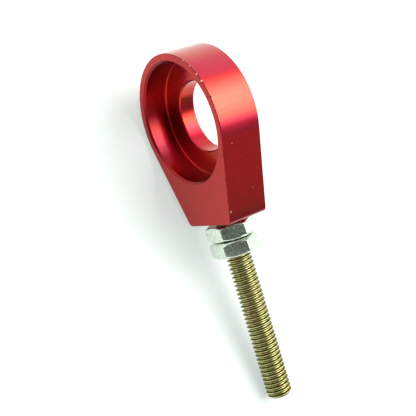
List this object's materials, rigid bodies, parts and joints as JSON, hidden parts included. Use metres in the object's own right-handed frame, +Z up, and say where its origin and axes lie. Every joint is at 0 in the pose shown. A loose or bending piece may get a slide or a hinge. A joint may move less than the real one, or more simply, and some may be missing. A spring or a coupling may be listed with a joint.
{
  "type": "motorcycle chain adjuster",
  "caption": "Chain adjuster: a ring with a recessed axle seat runs along tangent flats to a square base, which carries a threaded stud with thin hex nuts.",
  "frame": {"origin": "on the axle hole's axis, in the plane of the block's back face", "axes": "+Y along the axle hole, out of the back face; +X towards the stud's free end, which slopes 11.1 degrees down so that the part lies on its ring and on the stud's end; +Z up"},
  "size_m": [0.0809, 0.0102, 0.031],
  "materials": {
    "red_anodised": "red anodised over fine machining marks, satin",
    "yellow_zinc": "zinc plated, yellow passivated",
    "bright_zinc": "zinc plated, clear passivated"
  },
  "bodies": {
    "block": {"block": "red_anodised", "stud": "yellow_zinc"},
    "adjusting_nut": {"adjusting_nut": "bright_zinc"},
    "lock_nut": {"lock_nut": "bright_zinc"}
  },
  "joints": [
    {"name": "adjusting_nut_travel", "type": "slide", "parent": "block", "child": "adjusting_nut", "axis": [0.9813, 0, -0.1924], "range_m": [-0.00055, 0.017]},
    {"name": "lock_nut_travel", "type": "slide", "parent": "adjusting_nut", "child": "lock_nut", "axis": [0.9813, 0, -0.1924], "range_m": [-0.0002, 0.0175]}
  ]
}
